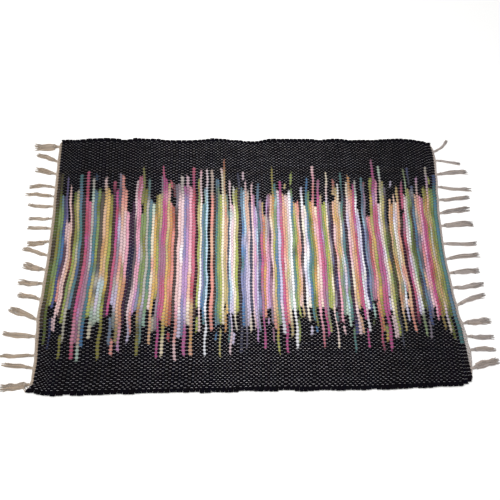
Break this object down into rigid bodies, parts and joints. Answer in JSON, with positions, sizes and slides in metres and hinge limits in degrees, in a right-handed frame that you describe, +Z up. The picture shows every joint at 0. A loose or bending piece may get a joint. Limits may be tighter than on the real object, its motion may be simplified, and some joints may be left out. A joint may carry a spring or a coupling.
{
  "type": "dhurrie rag rug",
  "caption": "Flat-woven rectangular rag rug with many-coloured cross stripes between black long sides, a plain cotton heading at each short end and knotted warp tassels.",
  "frame": {"origin": "middle of the flat underside of the woven cloth, on the floor", "axes": "+X along the rug's length and its warp, +Y across the rug along the rag weft, +Z up out of the face"},
  "size_m": [1.0384, 0.6183, 0.0076],
  "materials": {
    "rag_weft": "matte woven cotton rag strips, many colours between black sides",
    "cotton_yarn": "matte twisted cotton yarn, undyed grey-beige"
  },
  "bodies": {
    "root": {"rag_cloth": "rag_weft", "fringe_left": "cotton_yarn", "fringe_right": "cotton_yarn"}
  },
  "joints": []
}
